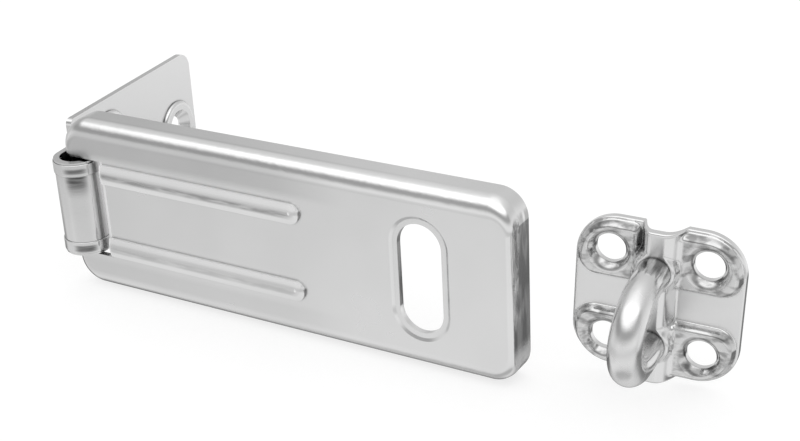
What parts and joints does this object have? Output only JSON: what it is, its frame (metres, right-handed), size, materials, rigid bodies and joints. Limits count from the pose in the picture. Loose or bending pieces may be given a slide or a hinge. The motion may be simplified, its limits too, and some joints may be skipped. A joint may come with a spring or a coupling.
{
  "type": "padlock hasp",
  "caption": "Hinged hasp with a slotted strap over a screw leaf, and its staple plate for a padlock.",
  "frame": {"origin": "on the hinge leaf's wall face, midway between the two screws nearest the hinge", "axes": "+X out of the leaf's wall face, towards its screw heads; +Z along the hinge axis; +Y along the leaf, away from the hinge; the staple plate faces -Y"},
  "size_m": [0.1587, 0.0818, 0.0412],
  "materials": {
    "zinc_plated_steel": "bright zinc plating, satin",
    "zinc_plated_pressing": "bright zinc plating, glossy",
    "plated_rod": "bright zinc plating, glossy"
  },
  "bodies": {
    "fixed": {"hinge_leaf": "zinc_plated_steel", "staple_plate": "zinc_plated_pressing", "staple": "plated_rod"},
    "strap": {"strap": "zinc_plated_steel"}
  },
  "joints": [
    {"name": "strap_hinge", "type": "hinge", "parent": "fixed", "child": "strap", "pos_m": [0.0053, -0.0177, 0], "axis": [0, 0, 1], "range_deg": [-83.7, 96.3]}
  ]
}
